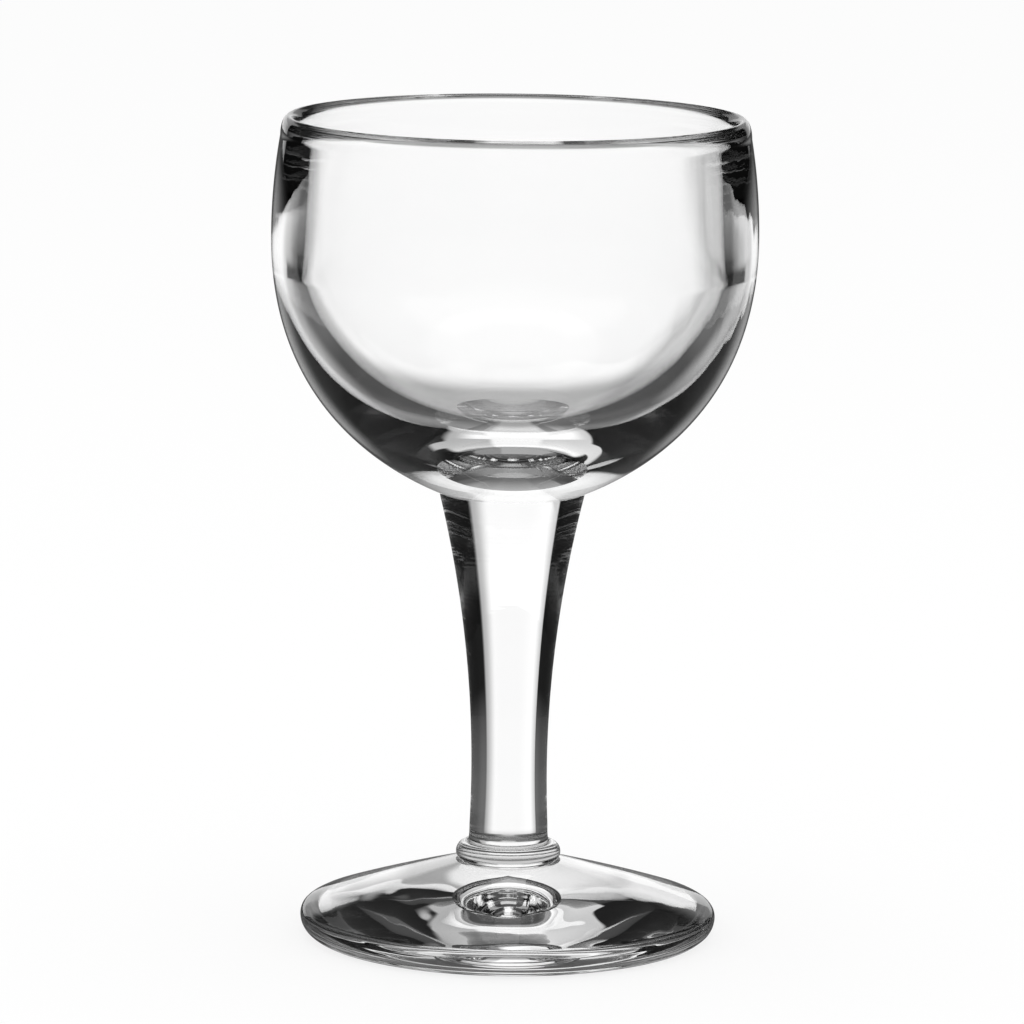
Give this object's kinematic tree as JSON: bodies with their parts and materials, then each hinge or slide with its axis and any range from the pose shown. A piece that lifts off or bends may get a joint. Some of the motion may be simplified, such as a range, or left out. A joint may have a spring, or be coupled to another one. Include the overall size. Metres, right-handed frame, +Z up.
{
  "type": "red wine glass",
  "caption": "Thick pressed clear glass wine goblet: round bowl with a rounded rim, solid tapering stem, bead collar and a domed disc foot hollowed underneath.",
  "frame": {"origin": "centre of the foot's resting ring, on the surface the glass stands on", "axes": "+Z up along the turning axis to the rim; X and Y are level, and any turn about Z looks the same"},
  "size_m": [0.0878, 0.0878, 0.15],
  "materials": {
    "bowl_glass": "clear, fire polished",
    "stem_glass": "clear, pressed, with faint mould seams",
    "collar_glass": "clear, fire polished",
    "foot_glass": "clear, fire polished"
  },
  "bodies": {
    "root": {"bowl": "bowl_glass", "stem": "stem_glass", "collar": "collar_glass", "foot": "foot_glass"}
  },
  "joints": []
}
